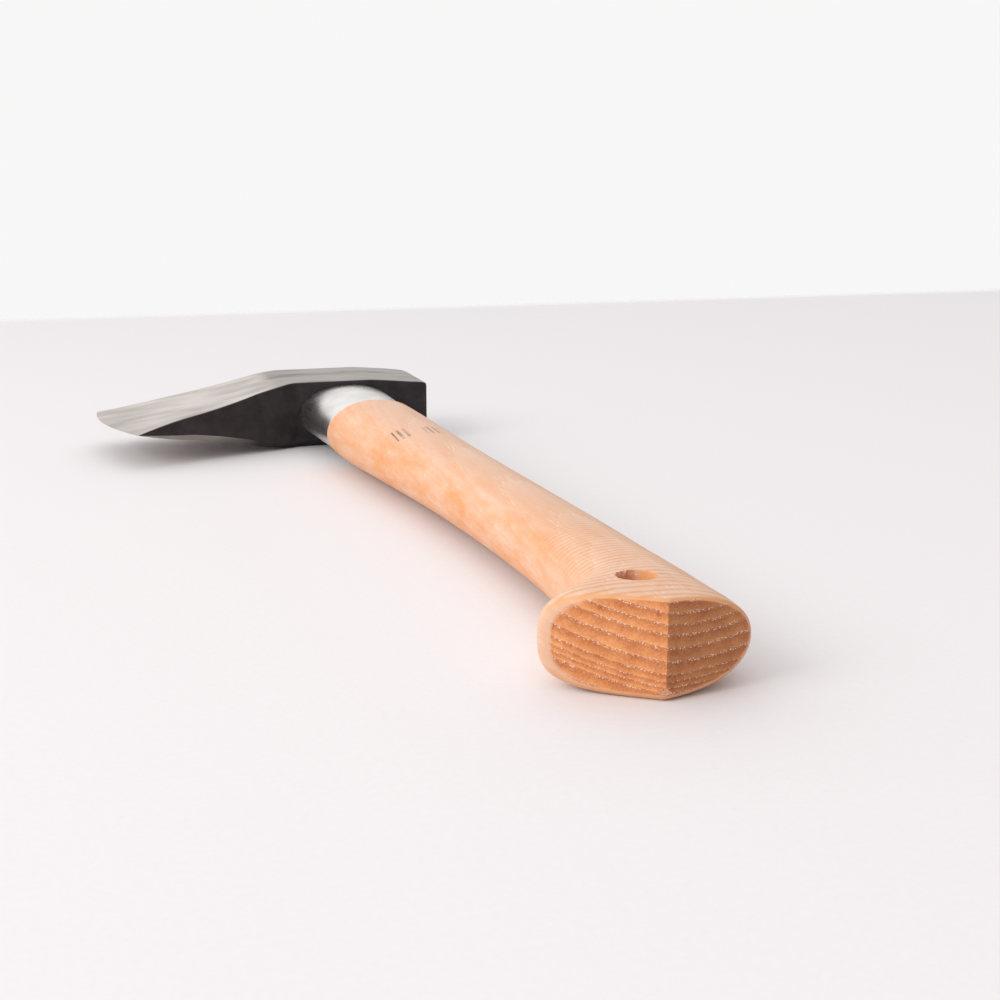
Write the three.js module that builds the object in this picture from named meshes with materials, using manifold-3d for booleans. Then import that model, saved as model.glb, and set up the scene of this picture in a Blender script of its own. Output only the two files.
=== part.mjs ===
// A small forged hatchet, lying on its side.
//
// Units are millimetres and +Z is up. While a piece is being shaped, +X runs along the handle
// from the butt to the head, +Y points at the cutting edge, and Z is the thickness of the tool.
// Floor level is z = 0: the flat cheek of the head and the flat of the knob both lie on it.
// At the end the whole tool is shifted so that its box is centred over the origin.
//
// The pieces are the five that a maker puts together at the bench: the forged head, the wooden
// handle, the steel guard round its neck, and the wooden and steel wedges that spread the tongue.

import * as THREE from 'three';
import { ParametricGeometry } from 'three/addons/geometries/ParametricGeometry.js';
import { mergeVertices } from 'three/addons/utils/BufferGeometryUtils.js';
import Module from 'manifold-3d';

const wasm = await Module();
wasm.setup();

// ---------------------------------------------------------------- driving dimensions

// Head
const HEAD_BOTTOM = 320.7;        // x of the underside, where the handle goes in
const HEAD_TOP = 362.3;           // x of the face where the wedges show
const HEAD_HALF = 14.05;          // half the thickness over the eye
const POLL_Y = -28;               // the flat hammering face
const ARRIS = { underUpper: 1.0, underLower: 2.6, top: 1.2 };   // how much its long edges are eased

// Handle
const KNOB_HALF = 12.3;           // half the thickness of the knob at the butt
const BUTT_RIDGE_Y = -0.5;        // the two end facets meet here
const FRONT_FACET = 32.9;         // degrees that the facet on the blade side leans back
const BACK_FACET = 8.8;           // degrees that the other facet leans back
const SHOULDER_X = 275;           // the grip ends here and the neck begins
const TONGUE_END = HEAD_TOP + 2.6;
const LANYARD = { x: 20.8, y: -1.3, radius: 4.75 };

// Eye, neck and guard
const EYE = { front: 22.2, back: -9.8, half: 8.3, flare: 1.1 };
const NECK = { front: 22.8, back: -10.2, half: 10.2 };
const GUARD_WALL = 1.5;
const GUARD_FLARE = { front: 3.6, back: 1.2, half: 0.2 };  // how much it spreads towards the head

// Wedges
const WEDGE_TIP_X = 334;
const WEDGE_HALF = { tip: 0.5, top: 2.4 };
const LOCK_WEDGE = { leg: 8.2, depth: 17, tip: 0.35, top: 0.85 };

const GAP = 0.3;                  // the clearance kept between neighbouring pieces
const AROUND = 40;                // facets round an oval section
const SAMPLE = 6;                 // length of one facet along the handle

// ---------------------------------------------------------------- solids

// One closed manifold solid from any closed geometry.
function solid(geometry) {
  const bare = geometry.index ? geometry.toNonIndexed() : geometry.clone();
  for (const name of Object.keys(bare.attributes)) {
    if (name !== 'position') bare.deleteAttribute(name);
  }
  const merged = mergeVertices(bare, 1e-4);
  const index = merged.index.array;
  const kept = [];
  for (let i = 0; i < index.length; i += 3) {
    const [a, b, c] = [index[i], index[i + 1], index[i + 2]];
    if (a !== b && b !== c && c !== a) kept.push(a, b, c);
  }
  return new wasm.Manifold(new wasm.Mesh({
    numProp: 3,
    vertProperties: merged.attributes.position.array,
    triVerts: new Uint32Array(kept),
  }));
}

function geometryOf(manifold) {
  const { vertProperties, triVerts } = manifold.getMesh();
  const geometry = new THREE.BufferGeometry();
  geometry.setAttribute('position', new THREE.BufferAttribute(new Float32Array(vertProperties), 3));
  geometry.setIndex(new THREE.BufferAttribute(new Uint32Array(triVerts), 1));
  return geometry;
}

// A flat outline in the XY plane, given thickness along Z.
function slab(shape, zLow, zHigh) {
  const geometry = new THREE.ExtrudeGeometry(shape, { depth: zHigh - zLow, bevelEnabled: false });
  return geometry.translate(0, 0, zLow);
}

// One coordinate of an oval with full sides: squareness 2 is an ellipse, more is boxier.
function ovalPower(value, squareness) {
  return Math.sign(value) * Math.abs(value) ** (2 / squareness);
}

// A closed solid that passes through oval sections. sectionAt(x) gives the front, back, middle
// height, half thickness and squareness of the section there. Both ends close on their centres.
function loft(sectionAt, xLow, xHigh) {
  const steps = Math.ceil((xHigh - xLow) / SAMPLE);
  const surface = (u, v, target) => {
    const row = Math.round(v * (steps + 2)) - 1;
    const x = xLow + (xHigh - xLow) * THREE.MathUtils.clamp(row / steps, 0, 1);
    const size = row < 0 || row > steps ? 0 : 1;
    const s = sectionAt(x);
    const angle = 2 * Math.PI * u;
    const cos = Math.abs(Math.cos(angle)) < 1e-9 ? 0 : Math.cos(angle);
    const sin = Math.abs(Math.sin(angle)) < 1e-9 ? 0 : Math.sin(angle);
    const squareness = cos > 0 ? s.squareFront : s.squareBack;
    const middle = (s.front + s.back) / 2;
    const reach = (s.front - s.back) / 2;
    target.set(
      x,
      middle + size * reach * ovalPower(cos, squareness),
      s.height + size * s.half * ovalPower(sin, squareness),
    );
  };
  return solid(new ParametricGeometry(surface, AROUND, steps + 2));
}

// ---------------------------------------------------------------- the handle

// Stations along the grip: x, front edge, back edge, half thickness, and the squareness of the
// section on the blade side and on the other side.
const GRIP = [
  [-9, 24.2, -22.2, 12.1, 3.2, 2.3],
  [0, 25.0, -23.1, KNOB_HALF, 3.2, 2.3],
  [10, 25.6, -24.1, KNOB_HALF, 3.2, 2.3],
  [17, 25.4, -24.0, 12.1, 3.0, 2.3],
  [24, 19.2, -23.5, 11.8, 2.7, 2.3],
  [31, 12.8, -23.1, 11.4, 2.5, 2.3],
  [40, 9.2, -22.8, 10.9, 2.4, 2.3],
  [55, 7.8, -22.5, 10.4, 2.35, 2.3],
  [85, 7.7, -21.9, 10.1, 2.3, 2.3],
  [130, 9.8, -19.7, 10.3, 2.25, 2.3],
  [180, 14.3, -16.9, 10.9, 2.2, 2.3],
  [230, 20.9, -15.0, 11.9, 2.1, 2.3],
  [256, 24.2, -13.7, 12.8, 2.0, 2.3],
  [SHOULDER_X, 25.4, -12.7, 13.1, 1.95, 2.3],
];
const gripCurves = new THREE.CubicInterpolant(
  GRIP.map((row) => row[0]),
  GRIP.flatMap((row) => row.slice(1)),
  5,
  new Float64Array(5),
);

// The handle's middle drops a little from the head to the knob, so both touch the floor.
function middleHeight(x) {
  return THREE.MathUtils.mapLinear(Math.min(x, SHOULDER_X), 0, SHOULDER_X, KNOB_HALF, HEAD_HALF);
}

function gripSection(x) {
  const [front, back, half, squareFront, squareBack] = gripCurves.evaluate(x);
  return { front, back, half, squareFront, squareBack, height: middleHeight(x) };
}

function constantOval({ front, back, half }, grow = 0) {
  return {
    front: front + grow,
    back: back - grow,
    half: half + grow,
    squareFront: 2.1,
    squareBack: 2.2,
    height: HEAD_HALF,
  };
}

// The tongue swells towards the top of the head, because the wedges spread it into the flared eye.
function tongueSection(x, grow) {
  const rise = THREE.MathUtils.clamp((x - HEAD_BOTTOM) / (HEAD_TOP - HEAD_BOTTOM), 0, 1);
  return constantOval(EYE, grow + EYE.flare * rise);
}

// Everything behind a plane through the ridge of the butt, which leans back by the given angle.
function buttCutter(degrees, side) {
  const reach = 60;
  const cutter = new THREE.BoxGeometry(reach, 2 * reach, 2 * reach);
  cutter.translate(-reach / 2, 0, 0);
  cutter.rotateZ(-side * THREE.MathUtils.degToRad(degrees));
  return solid(cutter.translate(0, BUTT_RIDGE_Y, KNOB_HALF));
}

function wedgeBlank(grow) {
  const tip = WEDGE_HALF.tip + grow;
  const top = WEDGE_HALF.top + grow;
  const outline = new THREE.Shape([
    new THREE.Vector2(WEDGE_TIP_X - grow, -tip),
    new THREE.Vector2(TONGUE_END + grow, -top),
    new THREE.Vector2(TONGUE_END + grow, top),
    new THREE.Vector2(WEDGE_TIP_X - grow, tip),
  ]);
  const width = EYE.front - EYE.back + 10;
  const geometry = slab(outline, -width / 2, width / 2);
  geometry.rotateX(Math.PI / 2);
  return solid(geometry.translate(0, (EYE.front + EYE.back) / 2, HEAD_HALF));
}

// Three tapered steel legs that meet on one line, driven down into the top of the wood.
function lockWedgeBlank(grow) {
  const { leg, depth, tip, top } = LOCK_WEDGE;
  const outline = new THREE.Shape([
    new THREE.Vector2(TONGUE_END - depth - grow, -tip - grow),
    new THREE.Vector2(TONGUE_END + grow, -top - grow),
    new THREE.Vector2(TONGUE_END + grow, top + grow),
    new THREE.Vector2(TONGUE_END - depth - grow, tip + grow),
  ]);
  const legs = [0, 120, 240].map((degrees) => {
    const geometry = slab(outline, 0, leg + grow);
    geometry.rotateX(-Math.PI / 2);
    geometry.rotateX(THREE.MathUtils.degToRad(degrees));
    return solid(geometry.translate(0, (EYE.front + EYE.back) / 2, HEAD_HALF));
  });
  return legs.reduce((whole, next) => whole.add(next));
}

function makeHandle() {
  const grip = loft(gripSection, GRIP[0][0], SHOULDER_X)
    .subtract(buttCutter(FRONT_FACET, 1))
    .subtract(buttCutter(-BACK_FACET, 1));
  const hole = new THREE.CylinderGeometry(LANYARD.radius, LANYARD.radius, 60, 32);
  hole.rotateX(Math.PI / 2).translate(LANYARD.x, LANYARD.y, KNOB_HALF);
  const neck = loft(() => constantOval(NECK), SHOULDER_X - 4, HEAD_BOTTOM - 2);
  const tongue = loft((x) => tongueSection(x, 0), HEAD_BOTTOM - 6, TONGUE_END);
  return grip
    .subtract(solid(hole))
    .add(neck)
    .add(tongue)
    .subtract(wedgeBlank(GAP))
    .subtract(lockWedgeBlank(GAP));
}

function makeWoodenWedge() {
  return wedgeBlank(0)
    .intersect(loft((x) => tongueSection(x, 0), WEDGE_TIP_X - 4, TONGUE_END))
    .subtract(lockWedgeBlank(GAP));
}

// ---------------------------------------------------------------- the guard round the neck

// The guard is narrow where it meets the wood and spreads towards the head.
function guardSection(x) {
  const rise = (x - SHOULDER_X) / (HEAD_BOTTOM - SHOULDER_X);
  const section = constantOval(NECK, GAP + GUARD_WALL);
  section.front += GUARD_FLARE.front * rise;
  section.back -= GUARD_FLARE.back * rise;
  section.half += GUARD_FLARE.half * rise;
  return section;
}

function makeGuard() {
  const outside = loft(guardSection, SHOULDER_X + GAP, HEAD_BOTTOM - GAP);
  return outside.subtract(loft(() => constantOval(NECK, GAP), SHOULDER_X - 4, HEAD_BOTTOM + 4));
}

// ---------------------------------------------------------------- the head

// Stations from the poll to the cutting edge. Each section of the head is a bar that stands
// between a point of the underside and a point of the top line, both given as x and y.
// Then come half of its thickness and how far its middle arches forward.
const HEAD_STATIONS = [
  { under: [HEAD_BOTTOM, POLL_Y], top: [354.5, POLL_Y], half: 11.2, arch: 0 },
  { under: [HEAD_BOTTOM, -26.4], top: [358.5, -26.4], half: 11.9, arch: 0 },
  { under: [HEAD_BOTTOM, -20], top: [HEAD_TOP, -20], half: 12.5, arch: 0 },
  { under: [HEAD_BOTTOM, -12], top: [HEAD_TOP, -12], half: 13.3, arch: 0 },
  { under: [HEAD_BOTTOM, -3], top: [HEAD_TOP, -3], half: HEAD_HALF, arch: 0 },
  { under: [HEAD_BOTTOM, 28.8], top: [HEAD_TOP, 26], half: HEAD_HALF, arch: 0 },
  { under: [319.2, 32], top: [HEAD_TOP, 32], half: HEAD_HALF, arch: 0 },
  { under: [315.6, 39], top: [HEAD_TOP, 40], half: 13, arch: 0 },
  { under: [312.9, 46.5], top: [HEAD_TOP, 46.5], half: 11.5, arch: 0 },
  { under: [310.9, 52], top: [362.1, 53], half: 10, arch: 0.3 },
  { under: [307.4, 61.5], top: [361.2, 64], half: 7.7, arch: 0.8 },
  { under: [303.9, 70.5], top: [360.1, 74], half: 5.9, arch: 1.6 },
  { under: [299.7, 81], top: [358.8, 84.5], half: 4.1, arch: 2.8 },
  { under: [296.6, 88.4], top: [357.4, 95], half: 2.4, arch: 3.6 },
  { under: [294.6, 93], top: [356.4, 102], half: 1.2, arch: 4.4 },
  { under: [292.8, 97.1], top: [355.4, 110.7], half: 0.2, arch: 5 },
];
const ALONG_SECTION = 10;         // facets along each cheek of a section

// The corners of one section, as [fraction from underside to top, height over the mid plane].
function sectionRing({ under, top, half }) {
  const height = Math.hypot(top[0] - under[0], top[1] - under[1]);
  const upper = Math.min(ARRIS.underUpper, 0.5 * half);
  const lower = Math.min(ARRIS.underLower, 0.5 * half);
  const far = Math.min(ARRIS.top, 0.5 * half);
  const cheek = (ease, z) => Array.from({ length: ALONG_SECTION + 1 }, (_, i) => (
    [THREE.MathUtils.lerp(ease / height, 1 - far / height, i / ALONG_SECTION), z]
  ));
  return [
    [0, half - upper],
    ...cheek(upper, half),
    [1, half - far],
    [1, far - half],
    ...cheek(lower, -half).reverse(),
    [0, lower - half],
  ];
}

function headBlank() {
  const rings = HEAD_STATIONS.map((station) => sectionRing(station));
  const around = rings[0].length;
  const last = HEAD_STATIONS.length - 1;
  const surface = (u, v, target) => {
    const row = Math.round(v * (last + 2)) - 1;
    const index = THREE.MathUtils.clamp(row, 0, last);
    const { under, top, arch } = HEAD_STATIONS[index];
    const corner = rings[index][Math.round(u * around) % around];
    const [fraction, z] = row === index ? corner : [0.5, 0];
    target.set(
      THREE.MathUtils.lerp(under[0], top[0], fraction),
      THREE.MathUtils.lerp(under[1], top[1], fraction) + 4 * arch * fraction * (1 - fraction),
      HEAD_HALF + z,
    );
  };
  return solid(new ParametricGeometry(surface, around, last + 2));
}

function makeHead() {
  return headBlank().subtract(loft((x) => tongueSection(x, GAP), HEAD_BOTTOM - 6, HEAD_TOP + 6));
}

// ---------------------------------------------------------------- the assembly

const FORGED_STEEL = { color: 0x4b4845, roughness: 0.42, metalness: 1 };
const GUARD_STEEL = { color: 0xb9b4ac, roughness: 0.28, metalness: 1 };
const WEDGE_STEEL = { color: 0x8c8984, roughness: 0.4, metalness: 1 };
const HANDLE_WOOD = { color: 0xe2ab7a, roughness: 0.5, metalness: 0 };
const WEDGE_WOOD = { color: 0xc9935f, roughness: 0.6, metalness: 0 };

function piece(name, manifold, finish) {
  const mesh = new THREE.Mesh(geometryOf(manifold), new THREE.MeshStandardMaterial(finish));
  mesh.name = name;
  return mesh;
}

const hatchet = new THREE.Group();
hatchet.add(
  piece('axe_head', makeHead(), FORGED_STEEL),
  piece('handle', makeHandle(), HANDLE_WOOD),
  piece('collar_guard', makeGuard(), GUARD_STEEL),
  piece('wooden_wedge', makeWoodenWedge(), WEDGE_WOOD),
  piece('steel_wedge', lockWedgeBlank(0), WEDGE_STEEL),
);

// The origin is the middle of the tool's box, on the surface that it lies on.
const box = new THREE.Box3().setFromObject(hatchet);
const centre = box.getCenter(new THREE.Vector3());
hatchet.position.set(-centre.x, -centre.y, -box.min.z);

export default hatchet;
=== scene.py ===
# %% [markdown]
# # A small forged hatchet, lying on its side
#
# The hatchet is put together from five pieces: a forged steel head, a wooden handle, a thin steel
# guard round the handle's neck, and two wedges that lock the wood in the eye of the head.
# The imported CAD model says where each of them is. This lesson builds the looks of each piece
# round that frame: its rounded edges, its grain, its forge scale and its ground faces.

# %% Load the frame
import math

import bmesh
import bpy
import numpy as np
from mathutils import Matrix, Vector


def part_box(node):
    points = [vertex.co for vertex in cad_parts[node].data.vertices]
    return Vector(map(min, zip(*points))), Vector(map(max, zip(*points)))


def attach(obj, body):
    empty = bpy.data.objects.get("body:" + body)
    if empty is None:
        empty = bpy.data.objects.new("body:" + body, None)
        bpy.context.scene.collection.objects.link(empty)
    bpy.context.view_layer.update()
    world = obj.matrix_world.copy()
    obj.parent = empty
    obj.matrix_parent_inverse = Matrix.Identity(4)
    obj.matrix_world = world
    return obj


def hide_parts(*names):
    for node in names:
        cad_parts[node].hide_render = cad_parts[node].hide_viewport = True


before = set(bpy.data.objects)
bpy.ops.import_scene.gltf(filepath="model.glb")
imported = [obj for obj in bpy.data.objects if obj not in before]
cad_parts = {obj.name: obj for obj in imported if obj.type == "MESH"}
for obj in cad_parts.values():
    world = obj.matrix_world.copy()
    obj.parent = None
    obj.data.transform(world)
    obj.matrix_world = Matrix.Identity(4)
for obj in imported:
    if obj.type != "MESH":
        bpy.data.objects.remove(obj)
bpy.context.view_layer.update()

# %% [markdown]
# A maker measures a hatchet from a few edges, so the lesson does the same. Lengths are written in
# millimetres: x runs from the ridge of the butt towards the head, y from the middle of the handle
# towards the cutting edge, and z up from the floor. The three zero lines are read from the frame.

# %% The maker's zero lines
MM = 0.001
POLL_Y = -28
GAP = 0.3       # what the CAD model leaves between neighbours, in mm
ORIGIN = Vector((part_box("handle")[0].x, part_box("axe_head")[0].y - POLL_Y * MM, 0))


def at(x, y, z):
    """A point given in the maker's millimetres, in the frame's metres."""
    return ORIGIN + Vector((x, y, z)) * MM


def mm_box(node):
    """The lowest and highest corner of a CAD node in the maker's millimetres."""
    return [(corner - ORIGIN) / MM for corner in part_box(node)]


guard_low, guard_high = mm_box("collar_guard")
head_low, head_high = mm_box("axe_head")
tongue_end = mm_box("handle")[1].x
print("guard from", round(guard_low.x, 1), "to", round(guard_high.x, 1), "mm")
print("head from", round(head_low.y, 1), "to", round(head_high.y, 1), "mm across")

# %% [markdown]
# Every long piece here is a row of sections: the handle's ovals, the guard's rings, the bars of
# the head. A flat grid has the same rows and columns, so it is bent round like a sheet of tin:
# each row becomes one section and the two long sides meet in a seam, which is then merged.

# %% Roll a grid into a tube
def tube(sections, closed_rows=False):
    """A tube through sections, each an array of points in mm. closed_rows joins last to first."""
    rows = list(sections) + ([sections[0]] if closed_rows else [])
    count = len(rows[0])
    table = np.array([np.vstack([row, row[:1]]) for row in rows], float)
    bm = bmesh.new()
    bmesh.ops.create_grid(bm, x_segments=count, y_segments=len(rows) - 1, size=0.5)
    for vert in bm.verts:
        column = round((vert.co.x + 0.5) * count)
        row = round((vert.co.y + 0.5) * (len(rows) - 1))
        vert.co = at(*table[row, column])
    bmesh.ops.remove_doubles(bm, verts=bm.verts, dist=0.002 * MM)
    return bm


def close_ends(bm):
    """Fills the open loops at the ends of a tube, each with one flat face."""
    open_edges = [edge for edge in bm.edges if edge.is_boundary]
    bmesh.ops.holes_fill(bm, edges=open_edges, sides=0)


# %% [markdown]
# A finished piece needs the same few things each time: outward faces, smooth shading that stops
# at sharp edges, a material, the body it rides on, and the CAD node it stands for.

# %% Finish a piece
FLAT_AREA = 40      # mm2, from which a face counts as large


def finish_piece(bm, name, node, material, sharp=40):
    """Turns a bmesh into the piece that is shown instead of a CAD node."""
    bmesh.ops.recalc_face_normals(bm, faces=bm.faces)
    for face in bm.faces:
        face.smooth = True
    # A large flat face keeps its own flat shading, or the eased edges would bend the light on it.
    # So does any sliver in the same plane that a cut has split off it.
    flat = {face for face in bm.faces if face.calc_area() > FLAT_AREA * MM * MM}
    for _ in range(4):      # one step further over the slivers each time
        flat |= {other for face in flat for edge in face.edges for other in edge.link_faces
                 if other.normal.dot(face.normal) > 0.9999}
    for edge in bm.edges:
        edge.smooth = (edge.calc_face_angle(math.pi) < math.radians(sharp)
                       and not flat.intersection(edge.link_faces))
    mesh = bpy.data.meshes.new(name)
    bm.to_mesh(mesh)
    bm.free()
    piece = bpy.data.objects.new(name, mesh)
    bpy.context.scene.collection.objects.link(piece)
    mesh.materials.append(material)
    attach(piece, "root")
    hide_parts(node)
    mesh.calc_loop_triangles()
    print(name, "has", len(mesh.loop_triangles), "triangles")


# %% [markdown]
# Some shaping is easier with a modifier than with a bmesh operator: a Boolean cuts holes the way a
# drill or a saw does. It is worked out at once and its result read back into a bmesh, so nothing
# live is left on the piece.

# %% Work out a modifier at once
def shown(bm, name):
    """A bmesh as a temporary object."""
    bmesh.ops.recalc_face_normals(bm, faces=bm.faces)
    mesh = bpy.data.meshes.new(name)
    bm.to_mesh(mesh)
    bm.free()
    obj = bpy.data.objects.new(name, mesh)
    bpy.context.scene.collection.objects.link(obj)
    return obj


def cut(bm, cutter_bm):
    """bm with the cutter's shape taken away."""
    body, cutter = shown(bm, "body"), shown(cutter_bm, "cutter")
    boolean = body.modifiers.new("cut", "BOOLEAN")
    boolean.operation = "DIFFERENCE"
    boolean.solver = "EXACT"
    boolean.object = cutter
    made = bmesh.new()
    made.from_mesh(body.evaluated_get(bpy.context.evaluated_depsgraph_get()).to_mesh())
    bpy.data.objects.remove(body)
    bpy.data.objects.remove(cutter)
    bmesh.ops.remove_doubles(made, verts=made.verts, dist=0.001 * MM)
    return made


# %% [markdown]
# Between two measured sections the wood runs on in a fair curve. A Hermite curve does that: it
# passes through each measured value with the slope between its two neighbours.

# %% A fair curve through measured values
def fair(stations, x):
    """The columns of a table of stations at x, where the first column is x itself."""
    stations = np.array(stations, float)
    places, values = stations[:, 0], stations[:, 1:]
    slopes = np.empty_like(values)
    slopes[1:-1] = (values[2:] - values[:-2]) / (places[2:] - places[:-2])[:, None]
    slopes[0] = (values[1] - values[0]) / (places[1] - places[0])
    slopes[-1] = (values[-1] - values[-2]) / (places[-1] - places[-2])
    x = np.clip(np.asarray(x, float), places[0], places[-1])
    i = np.clip(np.searchsorted(places, x, side="right") - 1, 0, len(places) - 2)
    span = (places[i + 1] - places[i])[..., None]
    t = (x - places[i])[..., None] / span
    return ((2 * t**3 - 3 * t**2 + 1) * values[i] + (t**3 - 2 * t**2 + t) * span * slopes[i]
            + (3 * t**2 - 2 * t**3) * values[i + 1] + (t**3 - t**2) * span * slopes[i + 1])


# %% [markdown]
# ## The handle
#
# The handle is one bar of ring-porous hardwood, curved like a fawn's foot. It is shaped on a
# spindle, sanded by belt and oiled. The table holds its ovals from the butt to the shoulder.

# %% The handle's stations
KNOB_HALF = 12.3
HEAD_HALF = 14.05
RIDGE_Y = -0.5
SHOULDER_X = guard_low.x - GAP
# x, edge on the blade side, edge on the other side, half thickness, squareness on each side
GRIP = [
    [-9, 24.2, -22.2, 12.1, 3.2, 2.3],
    [0, 25.0, -23.1, KNOB_HALF, 3.2, 2.3],
    [10, 25.6, -24.1, KNOB_HALF, 3.2, 2.3],
    [17, 25.4, -24.0, 12.1, 3.0, 2.3],
    [24, 19.2, -23.5, 11.8, 2.7, 2.3],
    [31, 12.8, -23.1, 11.4, 2.5, 2.3],
    [40, 9.2, -22.8, 10.9, 2.4, 2.3],
    [55, 7.8, -22.5, 10.4, 2.35, 2.3],
    [85, 7.7, -21.9, 10.1, 2.3, 2.3],
    [130, 9.8, -19.7, 10.3, 2.25, 2.3],
    [180, 14.3, -16.9, 10.9, 2.2, 2.3],
    [230, 20.9, -15.0, 11.9, 2.1, 2.3],
    [256, 24.2, -13.7, 12.8, 2.0, 2.3],
    [SHOULDER_X, 25.4, -12.7, 13.1, 1.95, 2.3],
]
HALF_COLUMNS = 70


def oval(front, back, half, square_front, square_back, middle_z):
    """The y and z of an oval's points, evenly spaced, from above the ridge line round the front."""
    angle = np.linspace(0, 2 * np.pi, 2881)
    cos, sin = np.cos(angle), np.sin(angle)
    power = 2 / np.where(cos > 0, square_front, square_back)
    y = (front + back) / 2 + (front - back) / 2 * np.sign(cos) * np.abs(cos) ** power
    z = half * np.sign(sin) * np.abs(sin) ** power
    halves = []
    for side in (y >= RIDGE_Y, y <= RIDGE_Y):
        ys, zs = y[side], z[side]
        order = np.argsort(-np.arctan2(zs, np.abs(ys - RIDGE_Y) + 1e-9))
        ys, zs = ys[order], zs[order]
        ys[0] = ys[-1] = RIDGE_Y
        run = np.concatenate([[0], np.cumsum(np.hypot(np.diff(ys), np.diff(zs)))])
        even = np.linspace(0, run[-1], HALF_COLUMNS + 1)
        halves.append(np.column_stack([np.interp(even, run, ys), np.interp(even, run, zs)]))
    ring = np.vstack([halves[0][:-1], halves[1][::-1][:-1]])
    ring[:, 1] += middle_z
    return ring


def middle_height(x):
    """The handle drops from the head to the knob, so that both lie on the floor."""
    return KNOB_HALF + (HEAD_HALF - KNOB_HALF) * min(x, SHOULDER_X) / SHOULDER_X


grip_x = np.arange(0, SHOULDER_X + 1, 1.0)
grip_rings = np.array([oval(*fair(GRIP, x), middle_height(x)) for x in grip_x])
print("grip:", len(grip_x), "ovals of", grip_rings.shape[1], "points")

# %% [markdown]
# The butt is sawn by two planes that meet in a ridge, a steep one on the blade side and a shallow
# one behind. The first rows of the grip follow those two planes, and over the next few
# centimetres they straighten into plain cross sections. Each end face is then closed in two flat
# halves along the ridge.

# %% The rows of the grip
FRONT_SLOPE = math.tan(math.radians(32.9))
BACK_SLOPE = math.tan(math.radians(8.8))
STRAIGHTEN = 36


def facet_x(y):
    """How far the sawn butt leans back at y."""
    return np.where(y > RIDGE_Y, (y - RIDGE_Y) * FRONT_SLOPE, (RIDGE_Y - y) * BACK_SLOPE)


def grip_row(s, inset=0):
    """The row that starts s behind the butt, drawn in by inset, as points in mm."""
    columns = np.arange(2 * HALF_COLUMNS)
    s, inset = s + 0.0 * columns, inset + 0.0 * columns
    straight = np.minimum(s / STRAIGHTEN, 1)
    follow = 1 - straight * straight * (3 - 2 * straight)
    x = s
    for _ in range(12):
        i = np.clip(x.astype(int), 0, len(grip_x) - 2)
        t = np.clip(x - i, 0, 1)[:, None]
        ring = grip_rings[i, columns] * (1 - t) + grip_rings[i + 1, columns] * t
        run = np.roll(ring, -1, axis=0) - np.roll(ring, 1, axis=0)
        inward = np.column_stack([run[:, 1], -run[:, 0]]) / np.hypot(*run.T)[:, None]
        inward[0], inward[HALF_COLUMNS] = (0, -1), (0, 1)
        ring = ring + inward * inset[:, None]
        x = s + follow * facet_x(ring[:, 0])
    return np.column_stack([x, ring])


grip_starts = np.concatenate([np.arange(5.0, 60, 1.75), np.arange(60, SHOULDER_X - 3, 3.0)])
grip_rows = [grip_row(s) for s in grip_starts]
print("grip rows:", len(grip_rows))

# %% [markdown]
# The rim of the butt is eased by hand: tightly on top, more along the sole, and most round the
# toe, where the hand pulls. A few rows turn from the facets into the grip on a quarter circle
# whose radius changes round the rim.

# %% The eased rim
TOP_EASE, SOLE_EASE, TOE_EASE = 1.4, 2.4, 3.7
saw_line = grip_row(0)
toe = np.clip((saw_line[:, 1] - 14) / 11, 0, 1)
sole = np.clip((14 - saw_line[:, 2]) / 8, 0, 1)
rim_ease = TOP_EASE + (SOLE_EASE - TOP_EASE) * sole * sole * (3 - 2 * sole)
rim_ease += (TOE_EASE - rim_ease) * toe * toe * (3 - 2 * toe)
rim_rows = [grip_row(rim_ease * (1 - math.sin(turn)), rim_ease * (1 - math.cos(turn)))
            for turn in np.linspace(np.pi / 2, 0, 6)]
print("rim eased by", rim_ease.min().round(1), "to", rim_ease.max().round(1), "mm")

# %% [markdown]
# Past the shoulder the wood is smaller. The neck fills the guard and the tongue fills the eye of
# the head, where the wedges swell it towards the top. All of it stays one piece of wood.

# %% Shoulder, neck and tongue
NECK = (22.8, -10.2, 10.2)
EYE = (22.2, -9.8, 8.3)
EYE_FLARE = 1.1
HEAD_BOTTOM = guard_high.x + GAP
HEAD_TOP = 362.3


def plain_row(x, size, grow=0):
    """An oval across the handle at x. size is front, back and half thickness."""
    front, back, half = size
    ring = oval(front + grow, back - grow, half + grow, 2.1, 2.2, HEAD_HALF)
    return np.column_stack([np.full(len(ring), x), ring])


def shrunk_row(x, inward):
    """The grip's last oval, drawn in by inward mm, at x."""
    front, back, half, square_front, square_back = fair(GRIP, x)
    ring = oval(front - inward, back + inward, half - inward, square_front, square_back,
                middle_height(x))
    return np.column_stack([np.full(len(ring), x), ring])


shoulder_round = 1.6
turns = np.linspace(0, np.pi / 2, 6)
shoulder_rows = [shrunk_row(SHOULDER_X - shoulder_round * (1 - math.sin(turn)),
                            shoulder_round * (1 - math.cos(turn))) for turn in turns]
neck_rows = [plain_row(x, NECK) for x in (SHOULDER_X, 290, 305, HEAD_BOTTOM - 2)]
tongue_rows = [plain_row(HEAD_BOTTOM - 2, EYE)] + [
    plain_row(x, EYE, EYE_FLARE * (x - HEAD_BOTTOM) / (HEAD_TOP - HEAD_BOTTOM))
    for x in np.linspace(HEAD_BOTTOM, tongue_end - 0.5, 12)
] + [plain_row(tongue_end, EYE, EYE_FLARE - 0.45)]
handle_rows = rim_rows + grip_rows + shoulder_rows + neck_rows + tongue_rows
handle = tube(handle_rows)
print("handle rows:", len(handle_rows))

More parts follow.
